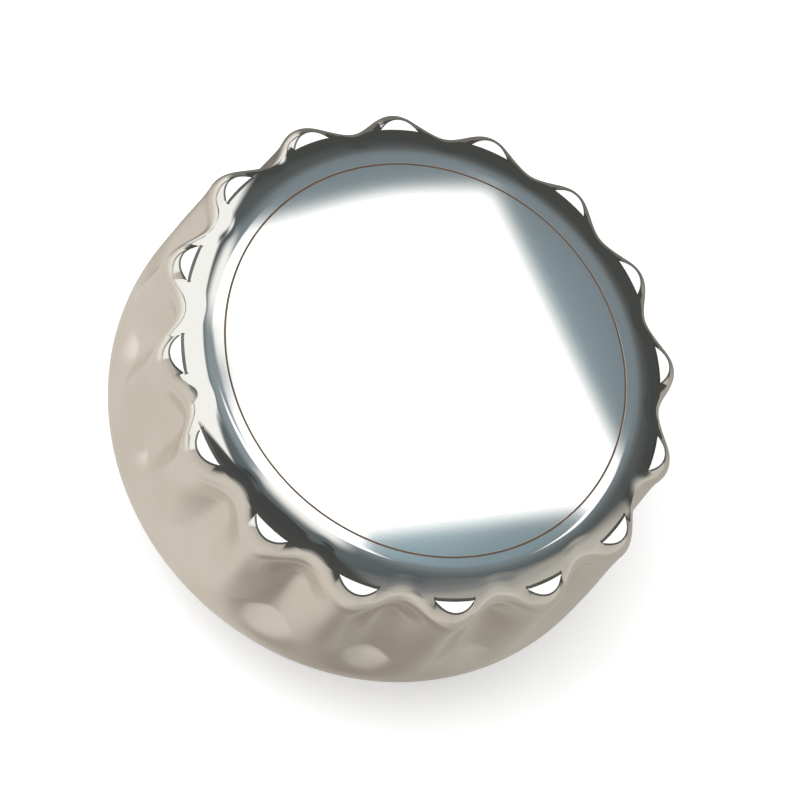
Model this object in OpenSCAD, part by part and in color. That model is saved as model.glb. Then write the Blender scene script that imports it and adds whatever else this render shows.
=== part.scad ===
// Screw-in fuel cap: a turned and fluted metal knob over a moulded threaded plug with a
// vent valve. Millimetres. The origin is the centre of the plug's end, +Z runs up to the face.

/* [Knob] */
// Height of the metal knob from its lower edge to the face
knob_h = 27; // [24:0.5:34]
// Metal from the pocket's wall to the crests of the lobes under the rim
rim_wall = 6.9; // [6.4:0.1:9]
// How far the barrel swells from the rim to its widest place, low on its side
belly_swell = 1; // [0:0.1:2]
// Distance from the crests under the rim inwards to where the ledge starts
ledge_inset = 3.3; // [3:0.1:4.4]
// Width of the turned roll between the ledge and the flat face
roll_w = 4.2; // [2:0.1:5]
// Drop from the face to the ledge
ledge_drop = 1.13; // [0.6:0.05:1.6]
// Width of the flat land on a lobe, along the rim
land_w = 5.8; // [3:0.1:7]
// Depth of that land, from the ledge outwards
land_reach = 1.6; // [1:0.1:1.8]
// Rounding of the rim, measured down from the face
rim_round = 4.4; // [3.5:0.1:6]
// Rounding of the lower edge
foot_round = 4.5; // [2:0.1:6]
// Thickness of metal between the face and the pocket
crown_t = 8.5; // [8:0.1:10]
// Room between the gasket's edge and the pocket's wall, where the filler neck enters
pocket_room = 2.5; // [1:0.1:4]
// Chamfer at the pocket's mouth
pocket_chamfer = 0.8; // [0.2:0.1:1.5]

/* [Flutes] */
// Number of finger flutes
flute_count = 16; // [10:1:20]
// Depth of a flute at the rim
flute_rim_depth = 2.25; // [1:0.05:3]
// Depth of a flute where it is deepest
flute_depth = 4.35; // [2:0.05:5]
// Distance below the face of the deepest place
flute_at = 8.8; // [6:0.1:11]
// Depth of a flute where its straight floor ends and the ramp out of it starts
ramp_cut = 2.4; // [1:0.1:3]
// Length of the ramp, down along the barrel
ramp_len = 4.8; // [3:0.1:6]
// Plain barrel between the ramp's end and the rounding of the lower edge
ramp_gap = 0.7; // [0:0.1:2]

/* [Engraved ring] */
// Distance from the face's edge inwards to the engraved line
ring_inset = 1.4; // [0.5:0.1:8]
// Width of the engraved line
ring_w = 0.25; // [0.2:0.05:0.6]
// Depth of the engraved line
ring_cut = 0.15; // [0.05:0.05:0.4]

/* [Plug] */
// Length of the plug that stands out below the knob
plug_drop = 14; // [10:0.5:20]
// Wall of the plug between its hollow and the thread's core
plug_wall = 2.8; // [2:0.1:4]
// Depth of the thread, from its core to its crests
thread_depth = 1.4; // [0.8:0.1:2]
// Length of the threaded zone
thread_len = 18.5; // [12:0.5:22]
// Chamfer at the plug's end
lead_chamfer = 1.5; // [0.5:0.1:2.5]
// Thickness of the plug's flange
flange_t = 3; // [2.5:0.1:4]
// Thickness of the ribs inside the plug
rib_t = 1.6; // [1:0.1:2.4]
// Height of the ribs inside the plug
rib_h = 4.5; // [2:0.1:8]
// Number of ribs inside the plug
rib_count = 6; // [3:3:6]

/* [Neck gasket] */
// Thickness of the gasket
gasket_t = 2.5; // [1.5:0.1:4]
// Width of the gasket, from its hole to its edge
gasket_w = 6.7; // [4:0.1:8]

/* [Screws] */
// Number of screws that hold the plug to the knob
screw_count = 3; // [3:3:6]
// Radius of the screw's thread
screw_r = 2; // [1.5:0.25:2]
// Length of the screw under its head
screw_len = 8; // [7:0.5:9]
// Radius of the screw's head
screw_head_r = 3.8; // [3:0.1:4]
// Height of the screw's head
screw_head_h = 2.2; // [1.8:0.1:2.6]
// Width across flats of the screw's socket
socket_af = 2.5; // [2:0.5:3]
// Depth of the screw's socket
socket_depth = 1.3; // [0.8:0.1:1.6]
// Thickness of the sealing washer
washer_t = 0.8; // [0.5:0.1:1.2]
// How far the sealing washer stands out round the screw's head
washer_rim = 0.4; // [0.2:0.1:1]

/* [Vent valve] */
// Radius of the valve chamber
chamber_r = 6; // [5.5:0.1:8]
// Wall of the boss round the valve chamber
boss_wall = 2.5; // [2:0.1:4]
// Radius of the vent hole to the outside
vent_r = 1.5; // [1:0.1:2]
// Width of the air channel across the flange
channel_w = 2.4; // [1.5:0.1:3]
// Depth of the air channel
channel_d = 1; // [0.6:0.1:1.2]
// Plastic between the air channel and the filter below it
channel_floor = 1; // [0.6:0.1:2]
// Thickness of the sintered filter
filter_t = 2; // [1:0.1:2.5]
// Thickness of the valve seat
seat_t = 2.5; // [2:0.1:3]
// Radius of the hole in the valve seat
seat_bore_r = 2; // [1.6:0.1:2.4]
// Height of the sealing lip under the seat
lip_h = 0.5; // [0.3:0.1:0.8]
// Width of the sealing lip
lip_w = 0.8; // [0.5:0.1:1]
// Thickness of the rubber disc on the poppet
seal_t = 1.2; // [0.8:0.1:1.6]
// Radius of the rubber disc on the poppet
seal_r = 4.3; // [3.8:0.1:4.6]
// Thickness of the poppet's disc
poppet_t = 1.5; // [1:0.1:2]
// Radius of the poppet's disc
poppet_r = 4.8; // [4.6:0.1:5]
// Radius of the poppet's guide stem
stem_r = 1.5; // [1:0.1:1.8]
// How far the stem's end stays inside the retainer
stem_short = 0.7; // [0.2:0.1:1.2]
// Radius of the stud that holds the rubber disc
stud_r = 1.1; // [0.8:0.1:1.3]
// Height of the closed spring between the retainer and the poppet
spring_h = 4.1; // [3.9:0.1:5]
// Mean radius of the spring's coils
spring_r = 3; // [2.6:0.1:3.4]
// Radius of the spring's wire
wire_r = 0.3; // [0.2:0.05:0.35]
// Number of coils
spring_turns = 4; // [3:1:5]
// Thickness of the valve retainer
retainer_t = 2.2; // [1.5:0.1:3]
// Radius of the holes in the retainer
retainer_hole_r = 0.9; // [0.6:0.1:1]

/* [Clearances] */
// Gap between the flange's edge and the pocket
flange_gap = 0.4; // [0.2:0.05:0.8]
// Gap between the gasket and the plug inside it
gasket_gap = 0.2; // [0.1:0.05:0.4]
// Gap between a washer and the valve boss
washer_boss_gap = 0.3; // [0.2:0.1:1]
// Gap between a washer and the wall of the plug's hollow
washer_wall_gap = 0.6; // [0.3:0.1:2]
// Gap round a screw in the plug and the washer
screw_gap = 0.25; // [0.15:0.05:0.4]
// Gap round a screw's thread in the knob
tapped_gap = 0.02; // [0.01:0.01:0.05]
// Depth of the tapped hole past the screw's tip
tap_spare = 1.3; // [0.5:0.1:1.5]
// Gap round the stem in its guide
stem_gap = 0.05; // [0.03:0.01:0.1]

/* [Hidden] */
$fn = 96;

steel = [0.72, 0.72, 0.74];
alloy = [0.80, 0.79, 0.77];
brass = [0.78, 0.62, 0.33];
bronze = [0.55, 0.42, 0.28];
acetal = [0.07, 0.07, 0.08];
nitrile = [0.10, 0.10, 0.10];
fibre = [0.50, 0.16, 0.12];

over = 0.5;

// Heights above the plug's end
face_z = plug_drop + knob_h;
flange_top = face_z - crown_t;
flange_low = flange_top - flange_t;
gasket_low = flange_low - gasket_t;
filter_top = flange_top - channel_d - channel_floor;
seat_top = filter_top - filter_t;
seat_low = seat_top - seat_t;
lip_low = seat_low - lip_h;
poppet_top = lip_low - seal_t;
poppet_low = poppet_top - poppet_t;
retainer_top = poppet_low - spring_h;
retainer_low = retainer_top - retainer_t;
washer_low = flange_low - washer_t;
screw_tip = washer_low + screw_len;

barrel_h = knob_h - foot_round;
ramp_end = barrel_h - ramp_gap;
floor_end = ramp_end - ramp_len;

// Radii, from the valve chamber outwards
boss_r = chamber_r + boss_wall;
washer_r = screw_head_r + washer_rim;
screw_pitch_r = boss_r + washer_boss_gap + washer_r;
plug_bore_r = screw_pitch_r + washer_r + washer_wall_gap;
core_r = plug_bore_r + plug_wall;
thread_r = core_r + thread_depth;
gasket_bore_r = core_r + gasket_gap;
gasket_r = gasket_bore_r + gasket_w;
pocket_r = gasket_r + pocket_room;
flange_r = pocket_r - flange_gap;
rim_r = pocket_r + rim_wall;
belly_r = rim_r + belly_swell;
ledge_r = rim_r - ledge_inset;
face_r = ledge_r - roll_w;
ring_r = face_r - ring_inset;

first_screw = 90;
channel_angle = 30;
retainer_hole_at = (stem_r + chamber_r) / 2 + 0.3;
retainer_holes = 4;
stem_low = retainer_low + stem_short;

// Steps of the knob's faceted skin
flute_steps = 12;
roll_steps = 5;
round_steps = 4;
scoop_steps = 2;
floor_steps = 2;
ramp_steps = 4;
foot_steps = 3;
// Width over which the roll and the lip of a flute run into each other
blend = 0.35;
// Narrowest step between two rows of the skin
row_gap = 0.04;
// Share of the rim's rounding over which it is drawn in beside a land
shoulder = 0.55;
// How quickly the ramp out of a flute levels off
ramp_ease = 1.5;
columns = flute_count * flute_steps;

// Radius of a lobe's crest at a depth below the face, a soft barrel that ends in the foot's arc
function crest_r(d) =
    let (t = min(max((d - rim_round) / (barrel_h - rim_round), 0), 1))
    let (swell = rim_r + (belly_r - rim_r) * t * t * (3 - 2 * t))
    let (low = max(d - barrel_h, 0))
    swell - foot_round + sqrt(max(pow(foot_round, 2) - pow(low, 2), 0));

// Depth of a flute at a depth below the face: it deepens behind the lip, runs down a straight
// floor and ramps out of the barrel
function flute_cut(d) =
    d < flute_at
    ? flute_rim_depth + (flute_depth - flute_rim_depth) * pow(sin(90 * d / flute_at), 2)
    : d < floor_end
    ? flute_depth + (ramp_cut - flute_depth) * (d - flute_at) / (floor_end - flute_at)
    : ramp_cut * pow(max(1 - (d - floor_end) / ramp_len, 0), ramp_ease);

// How far the flute reaches at an angle round the axis: nothing on a crest, all in a valley
function flute_wave(a) = (1 - cos(flute_count * a)) / 2;

// How far the rounded rim draws in at a depth below the face
function rim_inset(d) =
    d >= rim_round ? 0 : rim_round - sqrt(pow(rim_round, 2) - pow(rim_round - d, 2));

function side_r(a, d) = crest_r(d) - flute_cut(d) * flute_wave(a) - rim_inset(d);

// Depth of the turned roll from the face down to the ledge
function roll_drop(r) =
    let (t = min(max((r - face_r) / (ledge_r - face_r), 0), 1))
    ledge_drop * t * t;

// Depth of the rounded rim where a flute cuts into the roll
function rim_drop(a, r) =
    let (inset = rim_r - flute_cut(ledge_drop) * flute_wave(a) - r)
    inset >= rim_round ? 0 : rim_round - sqrt(pow(rim_round, 2) - pow(rim_round - inset, 2));

function skin_point(a, r, d) = [r * cos(a), r * sin(a), face_z - d];

// The larger of two drops, with a soft change from one to the other
function blended(p, q) =
    let (width = min(blend, p + q))
    max(p, q) + (width > 0 ? pow(max(width - abs(p - q), 0), 2) / (4 * width) : 0);

function top_drop(a, r) = blended(roll_drop(r), rim_drop(a, r));

// Angle from the nearest lobe's crest
function from_crest(a) = let (pitch = 360 / flute_count) abs(a - pitch * round(a / pitch));

// Outer edge of a lobe's land, or the ledge's radius between two lands
function land_dome(a) =
    let (off = rim_r * from_crest(a) * PI / 180)
    ledge_r + land_reach * max(1 - pow(2 * off / land_w, 2), 0);

// Where the top ends: at the land's edge on a lobe, just inside the rim in a valley
function top_edge(a) = min(land_dome(a), side_r(a, ledge_drop) - row_gap);

function edge_drop(a) = land_dome(a) > top_edge(a) ? top_drop(a, top_edge(a)) : ledge_drop;

function roll_end(a) = min(ledge_r, top_edge(a) - 2 * row_gap);

function row_angle(k) = 360 * k / columns;

// One row of the roll, which ends at the ledge, or just inside the rim in a valley
function roll_row(i) = [
    for (k = [0 : columns - 1])
    let (a = row_angle(k))
    let (r = face_r + (roll_end(a) - face_r) * i / roll_steps)
    skin_point(a, r, top_drop(a, r))
];

// The outer edge of the lands
edge_row = [
    for (k = [0 : columns - 1])
    let (a = row_angle(k))
    skin_point(a, top_edge(a), edge_drop(a))
];

// Angle on the rim's rounding at the depth of the ledge
ledge_angle = acos(1 - ledge_drop / rim_round);

// One row of the rim's rounding, drawn in beside a land
function round_row(i) =
    let (share = i / round_steps)
    let (d = rim_round * (1 - cos(ledge_angle + (90 - ledge_angle) * share)))
    [
        for (k = [0 : columns - 1])
        let (a = row_angle(k))
        let (draw = (side_r(a, ledge_drop) - top_edge(a)) * pow(max(1 - share / shoulder, 0), 2))
        skin_point(a, side_r(a, d) - draw, d)
    ];

function side_row(d) = [
    for (k = [0 : columns - 1])
    let (a = row_angle(k))
    skin_point(a, side_r(a, d), d)
];

rows = [
    for (i = [0 : roll_steps]) roll_row(i),
    edge_row,
    for (i = [1 : round_steps]) round_row(i),
    for (i = [1 : scoop_steps]) side_row(rim_round + (flute_at - rim_round) * i / scoop_steps),
    for (i = [1 : floor_steps]) side_row(flute_at + (floor_end - flute_at) * i / floor_steps),
    for (i = [1 : ramp_steps]) side_row(floor_end + ramp_len * i / ramp_steps),
    for (i = [0 : foot_steps]) side_row(barrel_h + foot_round * sin(90 * i / foot_steps))
];

// The knob's outer skin as one closed solid, still without its pocket
module knob_skin() {
    count = len(rows);
    points = [for (row = rows) each row];
    top = [for (k = [columns - 1 : -1 : 0]) k];
    base = [for (k = [0 : columns - 1]) (count - 1) * columns + k];
    sides = [
        for (i = [0 : count - 2])
        for (k = [0 : columns - 1])
        let (next = (k + 1) % columns)
        let (p = i * columns + k)
        let (q = i * columns + next)
        each [[p, q, q + columns], [p, q + columns, p + columns]]
    ];
    polyhedron(points = points, faces = concat([top], sides, [base]), convexity = 6);
}

module at_screws() {
    for (i = [0 : screw_count - 1])
        rotate([0, 0, first_screw + 360 * i / screw_count])
            translate([screw_pitch_r, 0, 0])
                children();
}

// Flat ring between two radii and two heights
module ring(inner, outer, low, high) {
    translate([0, 0, low])
        rotate_extrude()
            translate([inner, 0])
                square([outer - inner, high - low]);
}

module neck_pocket() {
    translate([0, 0, plug_drop - over])
        cylinder(r = pocket_r, h = flange_top - plug_drop + over);
    translate([0, 0, plug_drop - over])
        cylinder(r1 = pocket_r + pocket_chamfer + over, r2 = pocket_r, h = pocket_chamfer + over);
}

module tapped_hole() {
    hole_r = screw_r + tapped_gap;
    depth = screw_tip + tap_spare - hole_r / 2;
    translate([0, 0, flange_top - over])
        cylinder(r = hole_r, h = depth - flange_top + over);
    translate([0, 0, depth])
        cylinder(r1 = hole_r, r2 = 0, h = hole_r / 2);
}

module cap_shell() {
    color(alloy)
        difference() {
            knob_skin();
            neck_pocket();
            at_screws()
                tapped_hole();
            ring(ring_r - ring_w / 2, ring_r + ring_w / 2, face_z - ring_cut, face_z + over);
        }
}

// Half section of the moulded plug: thread blank, core, flange, hollow and valve boss
module plug_section() {
    polygon([
        [plug_bore_r, 0],
        [thread_r - lead_chamfer, 0],
        [thread_r, lead_chamfer],
        [thread_r, lead_chamfer + thread_len - (thread_r - core_r)],
        [core_r, lead_chamfer + thread_len],
        [core_r, flange_low],
        [flange_r, flange_low],
        [flange_r, flange_top],
        [0, flange_top],
        [0, filter_top],
        [chamber_r, filter_top],
        [chamber_r, retainer_low],
        [boss_r, retainer_low],
        [boss_r, flange_low],
        [plug_bore_r, flange_low]
    ]);
}

module plug_ribs() {
    for (i = [0 : rib_count - 1])
        rotate([0, 0, 360 * i / rib_count])
            translate([boss_r - over, -rib_t / 2, flange_low - rib_h])
                cube([plug_bore_r - boss_r + 2 * over, rib_t, rib_h + over]);
}

module thread_insert() {
    color(acetal)
        difference() {
            union() {
                rotate_extrude()
                    plug_section();
                plug_ribs();
            }
            at_screws()
                translate([0, 0, flange_low - over])
                    cylinder(r = screw_r + screw_gap, h = flange_t + 2 * over);
            translate([0, 0, filter_top - over])
                cylinder(r = vent_r, h = flange_top - filter_top + 2 * over);
            rotate([0, 0, channel_angle])
                translate([0, -channel_w / 2, flange_top - channel_d])
                    cube([pocket_r + over, channel_w, channel_d + over]);
        }
}

module neck_gasket() {
    color(nitrile)
        ring(gasket_bore_r, gasket_r, gasket_low, flange_low);
}

// Button-head screw, head down, with its socket
module screw() {
    dome = (pow(screw_head_r, 2) + pow(screw_head_h, 2)) / (2 * screw_head_h);
    translate([0, 0, washer_low])
        cylinder(r = screw_r, h = screw_len);
    difference() {
        intersection() {
            translate([0, 0, washer_low - screw_head_h])
                cylinder(r = screw_head_r, h = screw_head_h);
            translate([0, 0, washer_low - screw_head_h + dome])
                sphere(r = dome);
        }
        translate([0, 0, washer_low - screw_head_h - over])
            cylinder(r = socket_af / sqrt(3), h = socket_depth + over, $fn = 6);
    }
}

module insert_screws() {
    color(steel)
        at_screws()
            screw();
}

module screw_washers() {
    color(fibre)
        at_screws()
            ring(screw_r + screw_gap, washer_r, washer_low, flange_low);
}

module vent_filter() {
    color(bronze)
        translate([0, 0, seat_top])
            cylinder(r = chamber_r, h = filter_t);
}

module valve_seat() {
    color(brass)
        rotate_extrude()
            polygon([
                [seat_bore_r, lip_low],
                [seat_bore_r + lip_w, lip_low],
                [seat_bore_r + lip_w, seat_low],
                [chamber_r, seat_low],
                [chamber_r, seat_top],
                [seat_bore_r, seat_top]
            ]);
}

module valve_poppet() {
    color(brass) {
        rotate_extrude()
            polygon([
                [0, stem_low],
                [stem_r, stem_low],
                [stem_r, poppet_low],
                [poppet_r, poppet_low],
                [poppet_r, poppet_top],
                [stud_r, poppet_top],
                [stud_r, lip_low],
                [0, lip_low]
            ]);
    }
}

module poppet_seal() {
    color(nitrile)
        ring(stud_r, seal_r, poppet_top, lip_low);
}

// Coil spring swept by functions along its helix
module valve_spring() {
    sides = 6;
    per_turn = 14;
    last = spring_turns * per_turn;
    rise = spring_h - 2 * wire_r;
    points = [
        for (i = [0 : last])
        for (j = [0 : sides - 1])
        let (a = 360 * i / per_turn)
        let (b = 360 * j / sides + 30)
        let (r = spring_r + wire_r * cos(b))
        [
            r * cos(a),
            r * sin(a),
            retainer_top + wire_r + rise * i / last + wire_r * sin(b)
        ]
    ];
    walls = [
        for (i = [0 : last - 1])
        for (j = [0 : sides - 1])
        let (p = i * sides + j)
        let (q = i * sides + (j + 1) % sides)
        each [[p, p + sides, q + sides], [p, q + sides, q]]
    ];
    start = [for (j = [0 : sides - 1]) j];
    end = [for (j = [sides - 1 : -1 : 0]) last * sides + j];
    color(steel)
        polyhedron(points = points, faces = concat([start], walls, [end]), convexity = 8);
}

module valve_retainer() {
    color(acetal)
        difference() {
            ring(stem_r + stem_gap, chamber_r, retainer_low, retainer_top);
            for (i = [0 : retainer_holes - 1])
                rotate([0, 0, 360 * i / retainer_holes + 45])
                    translate([retainer_hole_at, 0, retainer_low - over])
                        cylinder(r = retainer_hole_r, h = retainer_t + 2 * over);
        }
}

cap_shell();
thread_insert();
neck_gasket();
insert_screws();
screw_washers();
vent_filter();
valve_seat();
valve_poppet();
poppet_seal();
valve_spring();
valve_retainer();
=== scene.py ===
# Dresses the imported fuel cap: a fine knob skin, a threaded plug, metal and rubber materials,
# a pale studio and the photograph's camera. Metres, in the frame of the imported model.
import math

import bpy
import bmesh
import numpy as np
from mathutils import Matrix, Vector


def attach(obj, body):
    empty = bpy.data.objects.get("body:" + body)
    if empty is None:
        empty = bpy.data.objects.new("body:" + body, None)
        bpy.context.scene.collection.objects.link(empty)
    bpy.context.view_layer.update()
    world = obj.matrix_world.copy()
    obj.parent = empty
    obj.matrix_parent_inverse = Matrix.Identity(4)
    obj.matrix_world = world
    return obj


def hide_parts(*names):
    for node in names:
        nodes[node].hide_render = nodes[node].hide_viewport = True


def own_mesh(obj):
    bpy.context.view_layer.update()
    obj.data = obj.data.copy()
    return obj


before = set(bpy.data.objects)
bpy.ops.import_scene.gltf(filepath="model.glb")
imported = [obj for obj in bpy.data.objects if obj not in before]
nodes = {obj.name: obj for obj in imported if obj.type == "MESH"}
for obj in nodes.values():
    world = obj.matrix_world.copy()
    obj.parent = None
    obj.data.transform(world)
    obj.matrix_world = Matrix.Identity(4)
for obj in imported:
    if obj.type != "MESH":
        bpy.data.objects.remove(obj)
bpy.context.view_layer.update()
MM = 0.001

# sizes of the solids, in mm, as the CAD source makes them
FACE_Z = 41.0
FACE_R = 29.4
LEDGE_R = 33.6
LEDGE_DROP = 1.13
RIM_R = 36.9
BELLY_R = 37.9
RIM_ROUND = 4.4
FOOT_ROUND = 4.5
KNOB_H = 27.0
BARREL_H = 22.5
POCKET_R = 30.0
POCKET_TOP = 32.5
POCKET_CHAMFER = 0.8
LOBES = 16
FLUTE_RIM_DEPTH = 2.25
FLUTE_DEPTH = 4.35
FLUTE_AT = 8.8
FLOOR_LEN = 8.2
RAMP_CUT = 2.4
RAMP_LEN = 4.8
LAND_W = 2.9
LAND_H = 1.6
BLEND = 0.35
SHOULDER = 0.55
RING_R = 28.0
RING_W = 0.25
RING_CUT = 0.15
THREAD_R = 22.0
CORE_R = 20.6
BORE_R = 17.8
FLANGE_LOW = 29.5
FLANGE_R = 29.6
BOSS_R = 8.5
BOSS_LOW = 16.5
CHAMBER_R = 6.0
CHAMBER_TOP = 30.5
GASKET_LOW = 27.0
GASKET_IN = 20.8
GASKET_OUT = 27.5
SCREWS = 3
SCREW_PITCH_R = 13.0
TAP_R = 2.02
TAP_END = 37.0
TAP_TIP = 38.0
SCREW_HOLE_R = 2.25
VENT_R = 1.5
CHANNEL_LEN = 31.0
CHANNEL_W = 2.4
CHANNEL_LOW = 31.5
CHANNEL_TURN = 30.0
RIBS = 6
RIB_LOW = 25.0
RIB_ROUND = 0.6
RIB_HALF = 0.8
RIB_FOOT_HALF = 0.95
OVER = 0.5
SPRING_LOW = 18.7
SPRING_H = 4.1
SPRING_R = 3.0
SPRING_TURNS = 4
WIRE_R = 0.3

# the thread: heights and pitch in mm, the run-out in turns, the sunk root as a share of its depth
THREAD_LOW = 2.2
THREAD_HIGH = 18.4
THREAD_PITCH = 4.0
THREAD_RUN_OUT = 0.16
THREAD_ROOT = -0.25

# fine points of the knob's skin that the solid doesn't have, in mm, and its rows of faces
GROOVE_SOFT = 0.02
LAND_BACK = 0.04
LAND_CORNER = 0.5
LAND_STEP = 0.08
LAND_FADE = 0.3
EDGE_W = 0.35
ROLL_ROWS = 24
EDGE_ROWS = 3
RIM_ROWS = 16
SIDE_ROWS = 36
FOOT_ROWS = 10

# the knob skin's material slots; the last is a painted dark edge round the lands, a painted reflection
PLAIN, LINE, GROUND, PAINTED_EDGE = range(4)

# creases sharper than this stay sharp, in degrees
CREASE = 30.0


# mesh helpers
def new_object(name, points, faces, slots=(), face_slot=None, sharp=CREASE):
    """A smooth-shaded mesh object from points in mm, with creases kept sharp above an angle."""
    mesh = bpy.data.meshes.new(name)
    mesh.from_pydata([tuple(p) for p in (np.asarray(points, float) * MM)], [], faces)
    mesh.validate()
    obj = bpy.data.objects.new(name, mesh)
    bpy.context.scene.collection.objects.link(obj)
    for m in slots:
        mesh.materials.append(m)
    if face_slot is not None:
        mesh.polygons.foreach_set("material_index", np.asarray(face_slot, np.int32))
    mesh.polygons.foreach_set("use_smooth", np.ones(len(mesh.polygons), bool))
    mesh.set_sharp_from_angle(angle=math.radians(sharp))
    return obj


def rounded(profile, radii, steps=4):
    """The (r, z) profile with each corner replaced by an arc of its own radius."""
    out = []
    n = len(profile)
    for i, (p, radius) in enumerate(zip(profile, radii)):
        p = np.array(p, float)
        a = np.array(profile[i - 1], float) - p
        b = np.array(profile[(i + 1) % n], float) - p
        la, lb = np.linalg.norm(a), np.linalg.norm(b)
        if radius <= 0 or la < 1e-9 or lb < 1e-9:
            out.append(tuple(p))
            continue
        a, b = a / la, b / lb
        half = math.acos(max(-1.0, min(1.0, float(a @ b)))) / 2
        cut = min(radius / math.tan(half), 0.49 * la, 0.49 * lb)
        radius = cut * math.tan(half)
        mid = (a + b) / np.linalg.norm(a + b)
        centre = p + mid * (radius / math.sin(half))
        start, end = p + a * cut - centre, p + b * cut - centre
        turn = math.atan2(start[0] * end[1] - start[1] * end[0], float(start @ end))
        for k in range(steps + 1):
            c, s = math.cos(turn * k / steps), math.sin(turn * k / steps)
            v = np.array([c * start[0] - s * start[1], s * start[0] + c * start[1]])
            out.append(tuple(centre + v))
    return out


def revolved(name, profile, count=192, slots=()):
    """A closed (r, z) profile turned about Z; points on the axis are shared."""
    points, rings = [], []
    for r, z in profile:
        if r < 1e-6:
            rings.append([len(points)])
            points.append((0.0, 0.0, z))
        else:
            rings.append(list(range(len(points), len(points) + count)))
            for k in range(count):
                a = 2 * math.pi * k / count
                points.append((r * math.cos(a), r * math.sin(a), z))
    faces = []
    for i, ring in enumerate(rings):
        nxt = rings[(i + 1) % len(rings)]
        for k in range(count):
            a, b = ring[k % len(ring)], ring[(k + 1) % len(ring)]
            c, d = nxt[(k + 1) % len(nxt)], nxt[k % len(nxt)]
            face = []
            for v in (a, b, c, d):
                if v not in face:
                    face.append(v)
            if len(face) > 2:
                faces.append(face)
    obj = new_object(name, points, faces, slots)
    outward(obj)
    return obj


def swept(name, points, sides, finish, sharp):
    """A closed solid through rings of points, in mm, each ring with the same number of sides."""
    last = len(points) // sides - 1
    faces = []
    for i in range(last):
        for j in range(sides):
            k = (j + 1) % sides
            faces.append((i * sides + j, (i + 1) * sides + j, (i + 1) * sides + k, i * sides + k))
    faces += [tuple(range(sides)), tuple(last * sides + j for j in range(sides - 1, -1, -1))]
    obj = new_object(name, points, faces, (finish,), sharp=sharp)
    outward(obj)
    return obj


def at_screws(name, profile, finish):
    """One turned cutter on the axis of each screw."""
    cutters = []
    for k in range(SCREWS):
        a = math.radians(90 + 360 / SCREWS * k)
        c = revolved(name, profile, 32, (finish,))
        c.location = Vector((SCREW_PITCH_R * math.cos(a), SCREW_PITCH_R * math.sin(a), 0)) * MM
        cutters.append(c)
    return cutters


def outward(obj):
    """Turns every face's normal outwards."""
    bm = bmesh.new()
    bm.from_mesh(obj.data)
    bmesh.ops.recalc_face_normals(bm, faces=bm.faces)
    bm.to_mesh(obj.data)
    bm.free()


def cut(obj, cutters):
    """Takes the cutters out of the object and deletes them."""
    for c in cutters:
        modifier = obj.modifiers.new("cut", "BOOLEAN")
        modifier.operation = "DIFFERENCE"
        modifier.solver = "EXACT"
        modifier.object = c
    bpy.context.view_layer.update()
    done = bpy.data.meshes.new_from_object(
        obj.evaluated_get(bpy.context.evaluated_depsgraph_get())
    )
    obj.modifiers.clear()
    old = obj.data
    obj.data = done
    done.name = old.name
    bpy.data.meshes.remove(old)
    for c in cutters:
        bpy.data.objects.remove(c)
    done.polygons.foreach_set("use_smooth", np.ones(len(done.polygons), bool))
    done.set_sharp_from_angle(angle=math.radians(CREASE))


def joined(name, objects):
    """One object from several, in the row frame."""
    bm = bmesh.new()
    slots = []
    for o in objects:
        start = len(bm.faces)
        shift = []
        for m in o.data.materials:
            if m not in slots:
                slots.append(m)
            shift.append(slots.index(m))
        bm.from_mesh(o.data)
        bm.faces.ensure_lookup_table()
        for f in bm.faces[start:]:
            if shift:
                f.material_index = shift[f.material_index]
    mesh = bpy.data.meshes.new(name)
    bm.to_mesh(mesh)
    bm.free()
    for m in slots:
        mesh.materials.append(m)
    obj = bpy.data.objects.new(name, mesh)
    bpy.context.scene.collection.objects.link(obj)
    for o in objects:
        bpy.data.objects.remove(o)
    return obj


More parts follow.
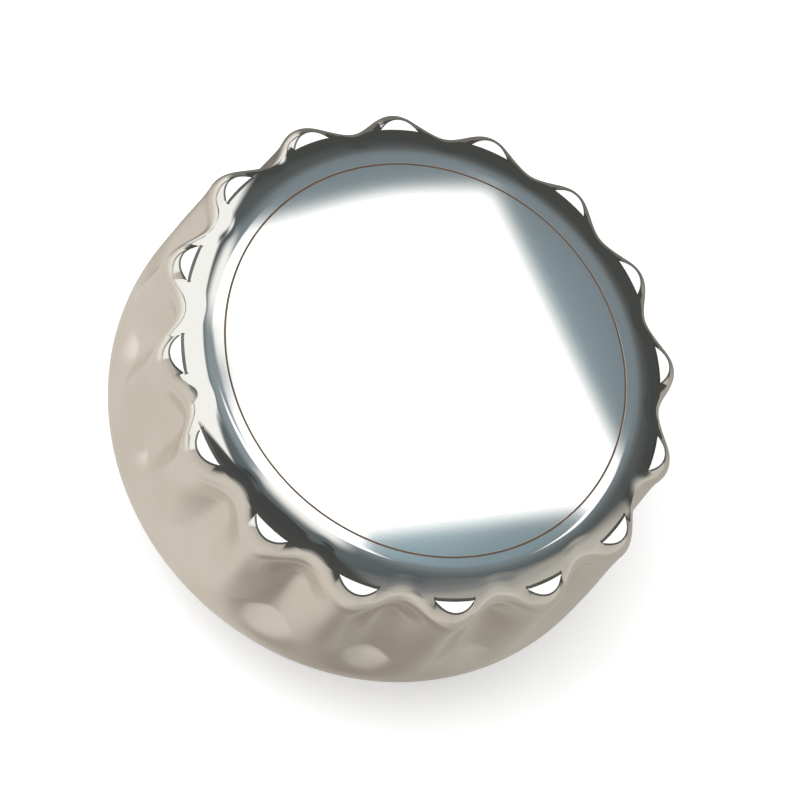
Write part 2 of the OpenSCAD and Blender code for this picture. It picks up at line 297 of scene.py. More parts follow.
# node helpers
class Graph:
    """Short calls for the nodes of one material or world."""

    def __init__(self, tree):
        self.tree = tree
        tree.nodes.clear()

    def node(self, kind, **settings):
        n = self.tree.nodes.new(kind)
        for key, value in settings.items():
            setattr(n, key, value)
        return n

    def put(self, socket, value):
        if isinstance(value, bpy.types.NodeSocket):
            self.tree.links.new(value, socket)
        else:
            socket.default_value = value

    def math(self, operation, a, b=0.0):
        n = self.node("ShaderNodeMath", operation=operation)
        self.put(n.inputs[0], a)
        self.put(n.inputs[1], b)
        return n.outputs[0]

    def product(self, first, *rest):
        for factor in rest:
            first = self.math("MULTIPLY", first, factor)
        return first

    def length(self, a, b):
        """The length of the flat vector (a, b)."""
        return self.math("SQRT", self.math("ADD", self.product(a, a), self.product(b, b)))

    def parts(self, vector):
        """The x, y and z of a vector."""
        n = self.node("ShaderNodeSeparateXYZ")
        self.put(n.inputs[0], vector)
        return n.outputs

    def dot(self, a, vector):
        n = self.node("ShaderNodeVectorMath", operation="DOT_PRODUCT")
        self.put(n.inputs[0], a)
        n.inputs[1].default_value = vector
        return n.outputs["Value"]

    def step(self, x, low, high):
        """Smoothly from 0 at low to 1 at high."""
        n = self.node("ShaderNodeMapRange", interpolation_type="SMOOTHSTEP")
        self.put(n.inputs["Value"], x)
        if low > high:
            n.inputs["From Min"].default_value = high
            n.inputs["From Max"].default_value = low
            n.inputs["To Min"].default_value = 1.0
            n.inputs["To Max"].default_value = 0.0
        else:
            n.inputs["From Min"].default_value = low
            n.inputs["From Max"].default_value = high
        return n.outputs["Result"]

    def span(self, x, low, high, to_low, to_high):
        """Straight from to_low at low to to_high at high, held past them."""
        n = self.node("ShaderNodeMapRange")
        self.put(n.inputs["Value"], x)
        for key, value in (("From Min", low), ("From Max", high), ("To Min", to_low), ("To Max", to_high)):
            n.inputs[key].default_value = value
        return n.outputs["Result"]

    def mix(self, share, a, b):
        """From colour a at share 0 to colour b at share 1."""
        n = self.node("ShaderNodeMix", data_type="RGBA")
        self.put(n.inputs["Factor"], share)
        self.put(n.inputs[6], a if isinstance(a, bpy.types.NodeSocket) else (*a, 1))
        self.put(n.inputs[7], b if isinstance(b, bpy.types.NodeSocket) else (*b, 1))
        return n.outputs[2]

    def ramp(self, x, stops):
        """A colour by x from 0 to 1; each stop is a place and a colour."""
        n = self.node("ShaderNodeValToRGB")
        n.color_ramp.interpolation = "EASE"
        marks = n.color_ramp.elements
        while len(marks) < len(stops):
            marks.new(0.5)
        for mark, (place, colour) in zip(marks, stops):
            mark.position = place
            mark.color = (*colour, 1)
        self.put(n.inputs[0], x)
        return n.outputs[0]

    def noise(self, vector, scale, detail=2.0, roughness=0.5, stretch=None):
        if stretch is not None:
            m = self.node("ShaderNodeMapping")
            m.inputs["Scale"].default_value = stretch
            self.put(m.inputs["Vector"], vector)
            vector = m.outputs[0]
        n = self.node("ShaderNodeTexNoise")
        self.put(n.inputs["Vector"], vector)
        n.inputs["Scale"].default_value = scale
        n.inputs["Detail"].default_value = detail
        n.inputs["Roughness"].default_value = roughness
        return n.outputs["Fac"]

    def bump(self, height, distance, strength=0.5):
        n = self.node("ShaderNodeBump")
        n.inputs["Strength"].default_value = strength
        n.inputs["Distance"].default_value = distance
        self.put(n.inputs["Height"], height)
        return n.outputs[0]


def linear(*rgb):
    """Scene-linear colour from 0 to 255 display values."""
    out = []
    for v in rgb:
        c = v / 255
        out.append(c / 12.92 if c <= 0.04045 else ((c + 0.055) / 1.055) ** 2.4)
    return tuple(out)


def material(name):
    """A new material, its graph, its shader and the place on the object."""
    m = bpy.data.materials.new(name)
    m.use_nodes = True
    g = Graph(m.node_tree)
    out = g.node("ShaderNodeOutputMaterial")
    shader = g.node("ShaderNodeBsdfPrincipled")
    g.tree.links.new(shader.outputs[0], out.inputs[0])
    where = g.node("ShaderNodeTexCoord").outputs["Object"]
    return m, g, shader, where


# camera: the cap's pose in the photograph; the distance in mm, the focal length and the ring's middle in pixels
TILT, TURN, SPIN = math.radians(28.837), math.radians(-48.490), math.radians(-133.919)
DISTANCE, FOCAL = 430.55, 3258.16
RING_PIXEL = (429.24, 356.31)
CENTRE = 400
SENSOR = 36.0

axis = Vector((math.sin(TILT) * math.cos(TURN), math.sin(TILT) * math.sin(TURN), -math.cos(TILT)))
side = Vector((0, 1, 0)).cross(axis).normalized()
other = axis.cross(side)
to_camera = Matrix((side, other, axis)).transposed()
offset = Vector(
    ((RING_PIXEL[0] - CENTRE) / FOCAL * DISTANCE, (RING_PIXEL[1] - CENTRE) / FOCAL * DISTANCE, DISTANCE)
)
spin = Matrix.Rotation(SPIN, 3, "Z")
from_camera = spin @ to_camera.transposed()
cam_place = from_camera @ -offset + Vector((0, 0, FACE_Z))
cam_right = from_camera @ Vector((1, 0, 0))
cam_up = from_camera @ Vector((0, -1, 0))
cam_ahead = from_camera @ Vector((0, 0, 1))

camera = bpy.data.objects.new("camera", bpy.data.cameras.new("camera"))
bpy.context.scene.collection.objects.link(camera)
turn = Matrix((cam_right, cam_up, -cam_ahead)).transposed().to_4x4()
camera.matrix_world = Matrix.Translation(cam_place * MM) @ turn
camera.data.sensor_width = SENSOR
camera.data.lens = FOCAL / (2 * CENTRE) * SENSOR
camera.data.clip_start, camera.data.clip_end = 0.01, 20.0
bpy.context.scene.camera = camera


# materials
def polished_alloy():
    """Mirror on the face and roll, satin in the flutes, with fine lathe lines and strokes of the cutter."""
    m, g, s, where = material("polished_alloy")
    x, y, z = g.parts(where)
    radius = g.length(x, y)
    # 0 on the face and the roll, 1 on the fluted side
    low = g.step(z, (FACE_Z - 0.9) * MM, (FACE_Z - 2.4) * MM)
    cloud = g.span(g.noise(where, scale=110.0, detail=3.0), 0.35, 0.65, 0.0, 0.45)
    s.inputs["Metallic"].default_value = 1.0
    tone = g.mix(low, linear(242, 242, 240), linear(241, 238, 232))
    tone = g.mix(g.product(cloud, low), tone, linear(228, 223, 214))
    g.put(s.inputs["Base Color"], tone)
    satin = g.span(g.noise(where, scale=260.0, detail=3.0), 0.3, 0.7, 0.16, 0.25)
    g.put(s.inputs["Roughness"], g.math("ADD", g.product(satin, low), 0.03))
    # Lathe lines round the face are faint; the flutes have short strokes along the cutter's way
    strokes = g.noise(where, scale=300.0, detail=3.0, stretch=(1.0, 1.0, 0.25))
    lines = g.product(g.noise(radius, scale=9000.0), 0.008)
    g.put(s.inputs["Normal"], g.bump(g.math("ADD", lines, g.product(strokes, low)), distance=0.00003))
    return m


def ground_land():
    """The small lands on the lobes: ground to a bright, even white with a fine grain."""
    m, g, s, where = material("ground_land")
    s.inputs["Metallic"].default_value = 0.25
    grain = g.noise(where, scale=1500.0, detail=3.0, stretch=(1.0, 0.2, 1.0))
    g.put(s.inputs["Base Color"], g.mix(grain, (0.97, 0.97, 0.96), (1.0, 1.0, 0.99)))
    g.put(s.inputs["Roughness"], g.span(grain, 0.3, 0.7, 0.34, 0.46))
    return m


def painted_dark_edge():
    """A narrow painted dark edge round a land: a painted reflection, standing in for the dark that the land's rounded
    edge reflects.
    """
    m, g, s, where = material("painted_dark_edge")
    s.inputs["Metallic"].default_value = 0.8
    g.put(s.inputs["Base Color"], g.mix(g.noise(where, scale=500.0), linear(92, 92, 90), linear(120, 119, 116)))
    s.inputs["Roughness"].default_value = 0.3
    return m


def engraved():
    """The brown floor of the engraved ring."""
    m, g, s, where = material("engraved_line")
    s.inputs["Metallic"].default_value = 0.2
    g.put(s.inputs["Base Color"], g.mix(g.noise(where, scale=300.0), linear(86, 72, 60), linear(124, 103, 84)))
    s.inputs["Roughness"].default_value = 0.7
    return m


def moulded(name, base, rough, grain=0.00002):
    """Plastic, rubber or fibre: slow changes of tone and sheen, and a fine grain of the given height in metres."""
    m, g, s, where = material(name)
    paler = tuple(min(1.0, c * 1.35 + 0.004) for c in base)
    g.put(s.inputs["Base Color"], g.mix(g.noise(where, scale=60.0), base, paler))
    sheen = g.noise(where, scale=700.0, detail=4.0)
    g.put(s.inputs["Roughness"], g.span(sheen, 0.3, 0.7, rough - 0.06, rough + 0.08))
    g.put(s.inputs["Normal"], g.bump(g.noise(where, scale=1800.0, detail=3.0), distance=grain))
    return m


def turned(name, base, rough):
    """Turned metal, with lathe lines and a tone that darkens in clouds."""
    m, g, s, where = material(name)
    x, y, z = g.parts(where)
    radius = g.length(x, y)
    s.inputs["Metallic"].default_value = 1.0
    darker = tuple(c * 0.8 for c in base)
    g.put(s.inputs["Base Color"], g.mix(g.noise(where, scale=240.0, detail=3.0), base, darker))
    g.put(s.inputs["Roughness"], g.span(g.noise(where, scale=900.0), 0.3, 0.7, rough - 0.06, rough + 0.08))
    lines = g.noise(g.math("ADD", radius, z), scale=9000.0, detail=1.0)
    g.put(s.inputs["Normal"], g.bump(lines, distance=0.00002))
    return m


def sintered():
    """Bronze grains baked together, with dark pores between them."""
    m, g, s, where = material("sintered_bronze")
    cells = g.node("ShaderNodeTexVoronoi")
    g.put(cells.inputs["Vector"], where)
    cells.inputs["Scale"].default_value = 2600.0
    s.inputs["Metallic"].default_value = 0.9
    g.put(s.inputs["Base Color"], g.mix(cells.outputs["Distance"], linear(170, 128, 84), linear(88, 60, 38)))
    s.inputs["Roughness"].default_value = 0.55
    g.put(s.inputs["Normal"], g.bump(cells.outputs["Distance"], distance=0.00008, strength=0.8))
    return m


alloy = polished_alloy()
line = engraved()
ground = ground_land()
painted_edge = painted_dark_edge()
acetal = moulded("black_acetal", (0.022, 0.022, 0.024), 0.42)
nitrile = moulded("nitrile_rubber", (0.028, 0.028, 0.027), 0.68, 0.00003)
fibre = moulded("red_fibre", linear(132, 48, 38), 0.75, 0.00005)
zinc = turned("screw_steel", linear(196, 198, 202), 0.24)
steel = turned("spring_steel", linear(168, 168, 172), 0.28)
brass = turned("valve_brass", linear(214, 178, 104), 0.25)
bronze = sintered()


# the knob; d is a depth below the face and wave is 0 on a crest and 1 in a valley
def crest_r(d):
    """The radius of the barrel over the lobes' crests, which swells and is drawn in at the foot."""
    t = np.clip((d - RIM_ROUND) / (BARREL_H - RIM_ROUND), 0, 1)
    low = np.maximum(d - BARREL_H, 0)
    swell = RIM_R + (BELLY_R - RIM_R) * t * t * (3 - 2 * t)
    return swell - FOOT_ROUND + np.sqrt(np.maximum(FOOT_ROUND**2 - low**2, 0))


def flute_cut(d):
    """Depth of a flute in its middle: it deepens behind the lip, runs down a straight floor and ramps out."""
    rise = FLUTE_RIM_DEPTH + (FLUTE_DEPTH - FLUTE_RIM_DEPTH) * np.sin(np.pi / 2 * d / FLUTE_AT) ** 2
    floor = FLUTE_DEPTH + (RAMP_CUT - FLUTE_DEPTH) * (d - FLUTE_AT) / FLOOR_LEN
    ramp = RAMP_CUT * np.clip(1 - (d - FLUTE_AT - FLOOR_LEN) / RAMP_LEN, 0, 1) ** 1.5
    return np.where(d < FLUTE_AT, rise, np.where(d < FLUTE_AT + FLOOR_LEN, floor, ramp))


def rim_inset(d):
    """How far the rim's rounding is drawn in."""
    return np.where(d >= RIM_ROUND, 0, RIM_ROUND - np.sqrt(np.maximum(RIM_ROUND**2 - (RIM_ROUND - d) ** 2, 0)))


def side_r(wave, d):
    """The radius of the knob's side."""
    return crest_r(d) - flute_cut(d) * wave - rim_inset(d)


def roll_drop(r):
    """Depth of the roll between the face and the ledge."""
    t = np.clip((r - FACE_R) / (LEDGE_R - FACE_R), 0, 1)
    return LEDGE_DROP * t * t


def rim_drop(wave, r):
    """Depth of the rim's rounding, seen from above."""
    inset = RIM_R - flute_cut(LEDGE_DROP) * wave - r
    return np.where(
        inset >= RIM_ROUND, 0, RIM_ROUND - np.sqrt(np.maximum(RIM_ROUND**2 - (RIM_ROUND - inset) ** 2, 0))
    )


def blended(a, b):
    """The larger of two drops, with a soft change from one to the other."""
    width = np.minimum(BLEND, a + b)
    return np.maximum(a, b) + np.maximum(width - np.abs(a - b), 0) ** 2 / (4 * width + 1e-9)


def knob():
    """The knob's skin in rows from the face's middle outwards, down the side and into the pocket."""
    # Half a lobe in degrees from its crest, closer together where a land's corner lies
    half = np.concatenate([
        np.linspace(0, 4.0, 9)[:-1], np.linspace(4.0, 6.6, 12)[:-1], np.linspace(6.6, 180 / LOBES, 8),
    ])
    lobe = np.concatenate([-half[:0:-1], half[:-1]])
    from_crest = np.concatenate([lobe for k in range(LOBES)])
    angles = np.radians(np.concatenate([lobe + 360 / LOBES * k for k in range(LOBES)]))
    wave = (1 - np.cos(LOBES * angles)) / 2
    count = len(angles)
    rows = []
    slots = []

    def row(r, d, slot=PLAIN):
        rows.append((np.zeros(count) + r, np.zeros(count) + d))
        slots.append(np.zeros(count, int) + slot)

    inner, outer = RING_R - RING_W / 2, RING_R + RING_W / 2
    for r in (13.0, 22.0, inner - 0.3, inner - GROOVE_SOFT):
        row(r, 0)
    row(inner, GROOVE_SOFT, LINE)
    row(inner + 0.01, RING_CUT - GROOVE_SOFT, LINE)
    row(inner + 0.03, RING_CUT, LINE)
    row(outer - 0.03, RING_CUT, LINE)
    row(outer - 0.01, RING_CUT - GROOVE_SOFT, LINE)
    row(outer, GROOVE_SOFT)
    row(outer + GROOVE_SOFT, 0)
    row(FACE_R - 0.25, 0)
    # The roll, which runs straight over the lip in a valley
    rim = side_r(wave, LEDGE_DROP)
    off = RIM_R * np.radians(np.abs(from_crest))
    dome = LEDGE_R + LAND_H * np.maximum(1 - (off / LAND_W) ** 2, 0)
    near = np.maximum(LAND_CORNER - np.abs(dome - rim + LAND_BACK), 0)
    land = np.minimum(dome, rim - LAND_BACK) - near**2 / 2
    last = np.minimum(LEDGE_R, land - LAND_STEP)
    # The roll's last rows and a land's rim take the painted dark edge, a painted reflection of the land's rounded edge
    edged = np.where(off < LAND_W + EDGE_W, PAINTED_EDGE, PLAIN)
    outlined = np.where(off < LAND_W, PAINTED_EDGE, PLAIN)
    for i in range(ROLL_ROWS + 1):
        r = FACE_R + (last - FACE_R) * i / ROLL_ROWS
        row(r, blended(roll_drop(r), rim_drop(wave, r)), edged if i > ROLL_ROWS - EDGE_ROWS else PLAIN)
    # The flat land of a lobe
    on_land = np.clip((land - last - LAND_STEP) / LAND_FADE, 0, 1)
    start = rows[-1][1]
    end = np.where(dome < rim - LAND_BACK, LEDGE_DROP, blended(roll_drop(land), rim_drop(wave, land)))
    for share in (0.04, 0.3, 0.65, 1.0):
        r = last + (land - last) * share
        slot = np.where(on_land > 0.1, GROUND, edged) if share < 1 else outlined
        row(r, start + (end - start) * (share + (1 - share) * on_land), slot)
    # The rim's rounding, drawn in at a lobe's shoulders
    gap = rim - land
    tilt = math.acos(1 - LEDGE_DROP / RIM_ROUND)
    for i in range(1, RIM_ROWS + 1):
        d = RIM_ROUND * (1 - math.cos(tilt + (math.pi / 2 - tilt) * i / RIM_ROWS))
        row(side_r(wave, d) - gap * max(1 - i / RIM_ROWS / SHOULDER, 0) ** 2, d)
    for i in range(1, SIDE_ROWS + 1):
        d = RIM_ROUND + (BARREL_H - RIM_ROUND) * i / SIDE_ROWS
        row(side_r(wave, d), d)
    for i in range(1, FOOT_ROWS + 1):
        d = BARREL_H + FOOT_ROUND * math.sin(math.pi / 2 * i / FOOT_ROWS)
        row(side_r(wave, d), d)
    # The flat base, the pocket's mouth and wall, and the pocket's end
    row(POCKET_R + POCKET_CHAMFER + 0.3, KNOB_H)
    row(POCKET_R + POCKET_CHAMFER, KNOB_H)
    row(POCKET_R, KNOB_H - POCKET_CHAMFER)
    row(POCKET_R, FACE_Z - POCKET_TOP + 2)
    row(POCKET_R, FACE_Z - POCKET_TOP)
    row(15.0, FACE_Z - POCKET_TOP)
    points = [
        (r[k] * math.cos(a), r[k] * math.sin(a), FACE_Z - d[k]) for r, d in rows for k, a in enumerate(angles)
    ]
    faces, face_slots = [], []
    for i in range(len(rows) - 1):
        for k in range(count):
            n = (k + 1) % count
            faces.append((i * count + k, i * count + n, (i + 1) * count + n, (i + 1) * count + k))
            face_slots.append(min(slots[i][k], slots[i][n]))
    faces.append(tuple(range(count - 1, -1, -1)))
    faces.append(tuple((len(rows) - 1) * count + k for k in range(count)))
    face_slots += [PLAIN, PLAIN]
    obj = new_object("knob_skin", points, faces, (alloy, line, ground, painted_edge), face_slots)
    outward(obj)
    cut(obj, at_screws("drill", [(0, POCKET_TOP - 1), (TAP_R, POCKET_TOP - 1), (TAP_R, TAP_END), (0, TAP_TIP)], alloy))
    return obj


knob_piece = knob()
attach(knob_piece, "cap")
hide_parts("cap_shell")


# the moulded plug with its thread
def plug():
    """The plug's turned body with its holes, air channel and ribs, joined with the thread."""
    profile = [
        (BORE_R, 0.0), (CORE_R - 0.1, 0.0), (CORE_R, 0.3), (CORE_R, FLANGE_LOW), (FLANGE_R, FLANGE_LOW),
        (FLANGE_R, POCKET_TOP), (0.0, POCKET_TOP), (0.0, CHAMBER_TOP), (CHAMBER_R, CHAMBER_TOP),
        (CHAMBER_R, BOSS_LOW), (BOSS_R, BOSS_LOW), (BOSS_R, FLANGE_LOW), (BORE_R, FLANGE_LOW),
    ]
    radii = [0.3, 0.05, 0.1, 0.5, 0.3, 0.2, 0, 0, 0.1, 0.25, 0.4, 0.8, 0.8]
    body = revolved("body", rounded(profile, radii), 192, (acetal,))
    top = POCKET_TOP + OVER
    low = FLANGE_LOW - OVER
    cutters = at_screws("hole", [(0, low), (SCREW_HOLE_R, low), (SCREW_HOLE_R, top), (0, top)], acetal)
    low = CHAMBER_TOP - OVER
    cutters.append(revolved("hole", [(0, low), (VENT_R, low), (VENT_R, top), (0, top)], 32, (acetal,)))
    channel = new_object(
        "channel",
        [(x, y, z) for x in (0, CHANNEL_LEN) for y in (-CHANNEL_W / 2, CHANNEL_W / 2) for z in (CHANNEL_LOW, top)],
        [(0, 1, 3, 2), (4, 6, 7, 5), (0, 4, 5, 1), (2, 3, 7, 6), (0, 2, 6, 4), (1, 5, 7, 3)], (acetal,),
    )
    channel.rotation_euler = (0, 0, math.radians(CHANNEL_TURN))
    cutters.append(channel)
    cut(body, cutters)
    # Ribs between the boss and the wall, with rounded lower edges
    parts = [body]
    arc = [(math.cos(t) * RIB_ROUND, math.sin(t) * RIB_ROUND) for t in np.linspace(math.pi, 2 * math.pi, 7)]
    section = [(x * RIB_HALF / RIB_ROUND, RIB_LOW + RIB_ROUND + y) for x, y in arc]
    section += [(RIB_FOOT_HALF, FLANGE_LOW + 0.2), (-RIB_FOOT_HALF, FLANGE_LOW + 0.2)]
    for k in range(RIBS):
        points = [(r, y, z) for r in (BOSS_R - 0.3, BORE_R + 0.3) for y, z in section]
        n = len(section)
        faces = [tuple(range(n - 1, -1, -1)), tuple(range(n, 2 * n))]
        faces += [(j, (j + 1) % n, n + (j + 1) % n, n + j) for j in range(n)]
        rib = new_object("rib", points, faces, (acetal,))
        rib.data.transform(Matrix.Rotation(math.radians(360 / RIBS * k), 4, "Z"))
        outward(rib)
        parts.append(rib)
    parts.append(thread())
    return joined("threaded_plug", parts)


def thread():
    """One right-handed thread ridge, with rounded crests and run-outs at both ends."""
    turns = (THREAD_HIGH - THREAD_LOW) / THREAD_PITCH
    steps = int(turns * 96)
    # The ridge's section: a height in mm and a share of the thread's depth
    shape = [
        (-1.55, THREAD_ROOT), (-1.15, 0.0), (-0.62, 0.84), (-0.42, 1.0),
        (0.42, 1.0), (0.62, 0.84), (1.15, 0.0), (1.55, THREAD_ROOT),
    ]
    points = []
    for i in range(steps + 1):
        share = i / steps
        a = 2 * math.pi * turns * share
        grow = min(1.0, share * turns / THREAD_RUN_OUT, (1 - share) * turns / THREAD_RUN_OUT)
        grow = math.sin(math.pi / 2 * max(grow, 0.0))
        for dz, dr in shape:
            reach = THREAD_ROOT + (dr - THREAD_ROOT) * grow if dr > THREAD_ROOT else dr
            r = CORE_R + (THREAD_R - CORE_R) * reach
            points.append((r * math.cos(a), r * math.sin(a), THREAD_LOW + (THREAD_HIGH - THREAD_LOW) * share + dz))
    return swept("thread", points, len(shape), acetal, sharp=50.0)


plug_piece = plug()
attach(plug_piece, "cap")
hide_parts("thread_insert")

gasket_piece = revolved(
    "gasket_ring",
    rounded(
        [(GASKET_IN, GASKET_LOW), (GASKET_OUT, GASKET_LOW), (GASKET_OUT, FLANGE_LOW), (GASKET_IN, FLANGE_LOW)],
        [0.2, 0.45, 0.25, 0.2],
    ),
    192,
    (nitrile,),
)
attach(gasket_piece, "cap")
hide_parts("neck_gasket")


def coil():
    """The valve's spring: a round wire along the helix of the solid one."""
    around, sides = 28, 10
    last = SPRING_TURNS * around
    points = []
    for i in range(last + 1):
        a = 2 * math.pi * i / around
        z = SPRING_LOW + WIRE_R + (SPRING_H - 2 * WIRE_R) * i / last
        for j in range(sides):
            b = 2 * math.pi * j / sides
            r = SPRING_R + WIRE_R * math.cos(b)
            points.append((r * math.cos(a), r * math.sin(a), z + WIRE_R * math.sin(b)))
    return swept("coil_spring", points, sides, steel, sharp=60.0)


spring_piece = coil()
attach(spring_piece, "cap")
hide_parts("valve_spring")
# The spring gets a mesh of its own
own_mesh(spring_piece)

for name, finish in (
    ("insert_screws", zinc),
    ("screw_washers", fibre),
    ("vent_filter", bronze),
    ("valve_seat", brass),
    ("valve_poppet", brass),
    ("poppet_seal", nitrile),
    ("valve_retainer", acetal),
):
    nodes[name].data.materials.clear()
    nodes[name].data.materials.append(finish)


# studio
def floor():
    """A plain pale floor. In metal it shows painted tones in place of its lit colour: pale towards the panel, greyer
    elsewhere, and a painted shade near the cap.
    """
    m = bpy.data.materials.new("floor")
    m.use_nodes = True
    g = Graph(m.node_tree)
    out = g.node("ShaderNodeOutputMaterial")
    diffuse = g.node("ShaderNodeBsdfDiffuse")
    diffuse.inputs["Color"].default_value = (0.80, 0.80, 0.80, 1)
    path = g.node("ShaderNodeLightPath")
    seen_directly = path.outputs["Is Camera Ray"]
    glow = g.node("ShaderNodeEmission")
    g.put(glow.inputs["Color"], (1.0, 0.99, 0.98, 1))
    g.put(glow.inputs["Strength"], g.product(seen_directly, 0.38))
    lit = g.node("ShaderNodeAddShader")
    g.tree.links.new(diffuse.outputs[0], lit.inputs[0])
    g.tree.links.new(glow.outputs[0], lit.inputs[1])

    # What metal sees of the floor is painted: a tone by direction and distance, not the floor's lit colour
    x, y = g.parts(g.node("ShaderNodeTexCoord").outputs["Object"])[:2]
    far = g.length(x, y)
    east = g.math("DIVIDE", x, far)
    north = g.math("DIVIDE", y, far)
    tone = g.mix(g.step(north, -0.05, 0.5), linear(216, 209, 200), linear(120, 117, 112))
    tone = g.mix(g.step(east, 0.2, 0.9), tone, linear(182, 178, 170))
    beyond = g.product(g.step(far, 0.06, 0.22), g.step(east, -0.72, -0.9))
    tone = g.mix(beyond, tone, linear(244, 240, 232))
    # A painted shade round the cap, seen only in reflections
    near = g.length(g.math("SUBTRACT", x, 0.042), g.math("ADD", y, 0.060))
    tone = g.mix(g.step(near, 0.052, 0.012), tone, linear(156, 149, 140))
    shown = g.node("ShaderNodeEmission")
    g.put(shown.inputs["Color"], tone)
    both = g.node("ShaderNodeMixShader")
    g.put(both.inputs[0], path.outputs["Is Glossy Ray"])
    g.tree.links.new(lit.outputs[0], both.inputs[1])
    g.tree.links.new(shown.outputs[0], both.inputs[2])
    # From below, the floor lets the underside be seen
    behind = g.product(g.node("ShaderNodeNewGeometry").outputs["Backfacing"], seen_directly)
    clear = g.node("ShaderNodeBsdfTransparent")
    sided = g.node("ShaderNodeMixShader")
    g.put(sided.inputs[0], behind)
    g.tree.links.new(both.outputs[0], sided.inputs[1])
    g.tree.links.new(clear.outputs[0], sided.inputs[2])
    g.tree.links.new(sided.outputs[0], out.inputs[0])
    size, low = 3000.0, -0.02
    corners = [(-size, -size, low), (size, -size, low), (size, size, low), (-size, size, low)]
    new_object("floor", corners, [(0, 1, 2, 3)], (m,))


floor()

# The world: white to the camera, even to matt surfaces, and a studio of panels to metal
world = bpy.data.worlds.new("studio")
bpy.context.scene.world = world
world.use_nodes = True
w = Graph(world.node_tree)
WHITE = linear(255, 254, 250)
WINDOW = (1.6, 1.6, 1.58)


def mirrored(v):
    """A direction from the camera as the face reflects it."""
    return Vector((v.x, v.y, -v.z)).normalized()


def photo_x(pixel):
    """The slope across the view at a pixel's column."""
    return (pixel - CENTRE) / FOCAL


def photo_y(pixel):
    """The slope up the view at a pixel's row."""
    return (CENTRE - pixel) / FOCAL


def by_height(z, *stops):
    """A colour that changes with the sine of the elevation; each stop is a place and a 0 to 255 colour."""
    low, high = stops[0][0], stops[-1][0]
    share = w.span(z, low, high, 0.0, 1.0)
    return w.ramp(share, [((place - low) / (high - low), linear(*tone)) for place, tone in stops])


def room(ray):
    """The dark room and its panels: a white one at the left, a grey one at the right, dark ahead and behind."""
    x, y, z = w.parts(ray)
    flat = w.math("MAXIMUM", w.length(x, y), 1e-3)
    east = w.math("DIVIDE", x, flat)
    north = w.math("DIVIDE", y, flat)
    tone = by_height(
        z, (-0.3, (108, 105, 100)), (0.0, (74, 73, 69)), (0.45, (72, 74, 72)), (0.75, (88, 92, 92)),
        (1.0, (98, 105, 107)),
    )
    camera_side = by_height(
        z, (-0.3, (208, 202, 192)), (0.05, (214, 208, 198)), (0.3, (208, 202, 192)), (0.62, (192, 186, 176)),
        (0.74, (140, 137, 132)), (0.84, (76, 77, 75)), (1.0, (70, 71, 70)),
    )
    tone = w.mix(w.step(north, -0.25, -0.75), tone, camera_side)
    grey_side = by_height(
        z, (-0.3, (194, 190, 181)), (0.1, (206, 201, 192)), (0.35, (200, 195, 186)), (0.66, (188, 183, 174)),
        (0.80, (166, 163, 156)), (0.88, (130, 131, 129)), (0.93, (112, 115, 115)), (0.96, (92, 98, 100)),
        (1.0, (98, 105, 107)),
    )
    tone = w.mix(w.step(east, 0.66, 0.86), tone, grey_side)
    gap = w.product(w.step(z, 0.07, 0.11), w.step(z, 0.22, 0.17), 0.9)
    panel = w.product(w.step(east, -0.78, -0.84), w.step(z, 0.974, 0.958), w.math("SUBTRACT", 1.0, gap))
    return w.mix(panel, tone, WHITE)


def window(px, py):
    """The big soft light in the face, by the photograph's pixels: straight edges, a slanting right one."""
    soft = 13 / FOCAL

    def edge(x_share, y_share, x_pixel, y_pixel, towards):
        """A soft straight edge through a pixel: light where x_share px + y_share py is over (1) or under (-1) it."""
        place = w.math("ADD", w.product(px, x_share), w.product(py, y_share))
        middle = x_share * photo_x(x_pixel) + y_share * photo_y(y_pixel)
        return w.step(place, middle - towards * soft, middle + towards * soft)

    top = w.product(edge(0.0, 1.0, CENTRE, 190, -1), edge(0.27, -1.0, 300, 214, 1))
    right = edge(0.901, 0.433, 606, 430, -1)
    left = w.step(px, photo_x(-140), photo_x(60))
    foot = w.step(py, photo_y(720), photo_y(590))
    # A grey band under the light, and a dark strip across it at the far left
    band = w.product(
        edge(-0.12, 1.0, CENTRE, 529, -1),
        w.step(px, photo_x(350), photo_x(374)), w.step(px, photo_x(600), photo_x(580)),
    )
    strip = w.product(
        w.step(px, photo_x(246), photo_x(216)), w.step(py, photo_y(500), photo_y(430)),
        w.step(py, photo_y(285), photo_y(335)),
    )
    return w.product(top, right, left, foot, w.math("SUBTRACT", 1.0, band), w.math("SUBTRACT", 1.0, strip))


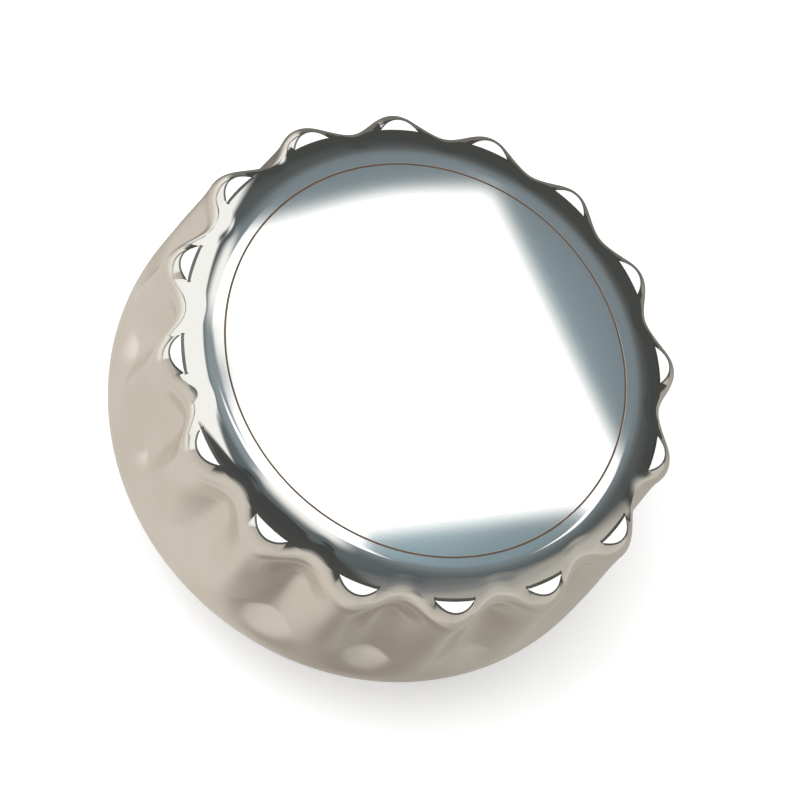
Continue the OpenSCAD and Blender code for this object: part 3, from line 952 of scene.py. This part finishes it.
ray = w.node("ShaderNodeTexCoord").outputs["Generated"]
depth = w.dot(ray, mirrored(cam_ahead))
across, rise = w.dot(ray, mirrored(cam_right)), w.dot(ray, mirrored(cam_up))
front = w.math("MAXIMUM", depth, 0.05)
px, py = w.math("DIVIDE", across, front), w.math("DIVIDE", rise, front)
away = w.node("ShaderNodeMath", operation="ARCCOSINE")
w.put(away.inputs[0], w.math("MINIMUM", w.math("MAXIMUM", depth, -1.0), 1.0))
degrees = w.product(away.outputs[0], 180 / math.pi)
halo = w.ramp(
    w.span(degrees, 0.0, 26.0, 0.0, 1.0),
    [
        (0.0, linear(152, 178, 188)), (0.09, linear(150, 174, 183)), (0.125, linear(132, 150, 158)),
        (0.16, linear(123, 135, 141)), (0.28, linear(121, 130, 134)), (0.58, linear(108, 115, 117)),
        (1.0, linear(88, 92, 92)),
    ],
)
seen = w.mix(w.step(degrees, 9.0, 26.0), halo, room(ray))
# At the left the light runs on above, over a slate blue strip
reach = w.math("MAXIMUM", w.length(across, rise), 1e-4)
leftward, upward = w.math("DIVIDE", across, reach), w.math("DIVIDE", rise, reach)
slate = w.product(w.step(leftward, -0.7, -0.88), w.step(degrees, 27.0, 15.0))
seen = w.mix(slate, seen, linear(142, 153, 158))
glow = w.product(w.step(leftward, -0.76, -0.86), w.step(upward, 0.1, 0.32), w.step(degrees, 25.0, 13.0))
below = w.product(w.step(leftward, -0.36, -0.5), w.step(upward, -0.5, -0.64), w.step(degrees, 27.0, 9.0))
seen = w.mix(w.math("MAXIMUM", glow, below), seen, WHITE)
seen = w.mix(window(px, py), seen, WINDOW)
path = w.node("ShaderNodeLightPath")
# Matt surfaces are lit evenly; the camera sees plain white
plain = w.mix(path.outputs["Is Camera Ray"], (0.62, 0.62, 0.62), (1.0, 1.0, 1.0))
colour = w.mix(path.outputs["Is Glossy Ray"], plain, seen)
background = w.node("ShaderNodeBackground")
w.put(background.inputs["Color"], colour)
w.put(background.inputs["Strength"], 1.0)
w_out = w.node("ShaderNodeOutputWorld")
w.tree.links.new(background.outputs[0], w_out.inputs[0])


def lamp(name, place, size, power):
    """A square lamp that points at the cap's middle and shows in no reflection."""
    data = bpy.data.lights.new(name, "AREA")
    data.shape = "SQUARE"
    data.size = size
    data.energy = power
    obj = bpy.data.objects.new(name, data)
    obj.location = place
    obj.rotation_mode = "QUATERNION"
    obj.rotation_quaternion = (Vector((0, 0, 0.02)) - Vector(place)).to_track_quat("-Z", "Y")
    obj.visible_glossy = False
    bpy.context.scene.collection.objects.link(obj)


lamp("key", place=(-0.36, -0.20, 0.74), size=0.75, power=7.5)

view = bpy.context.scene.view_settings
view.view_transform = "Standard"

bpy.context.view_layer.update()
